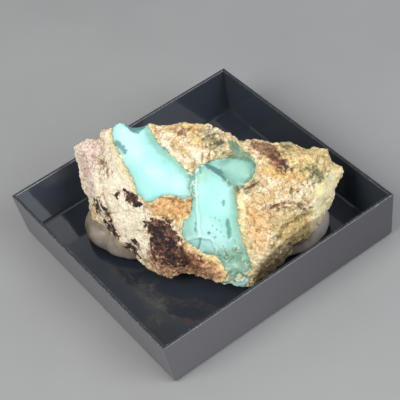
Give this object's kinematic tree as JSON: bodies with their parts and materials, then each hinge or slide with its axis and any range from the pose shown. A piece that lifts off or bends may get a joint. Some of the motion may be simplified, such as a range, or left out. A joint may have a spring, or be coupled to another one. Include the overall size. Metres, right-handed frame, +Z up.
{
  "type": "raw turquoise nugget",
  "caption": "Rough lump of pale host rock with a broad turquoise vein, pressed into grey putty in a square open black display tray.",
  "frame": {"origin": "middle of the tray's flat underside, on the surface that it stands on", "axes": "+Z up; the tray's sides run along X and Y, and the stone lies along the diagonal from -X -Y to +X +Y with its turquoise face towards +X -Y"},
  "size_m": [0.05, 0.05, 0.0258],
  "materials": {
    "stone": "matte",
    "putty": "matte",
    "tray_plastic": "gloss"
  },
  "bodies": {
    "root": {"turquoise_stone": "stone", "mounting_putty": "putty", "display_tray": "tray_plastic"}
  },
  "joints": []
}
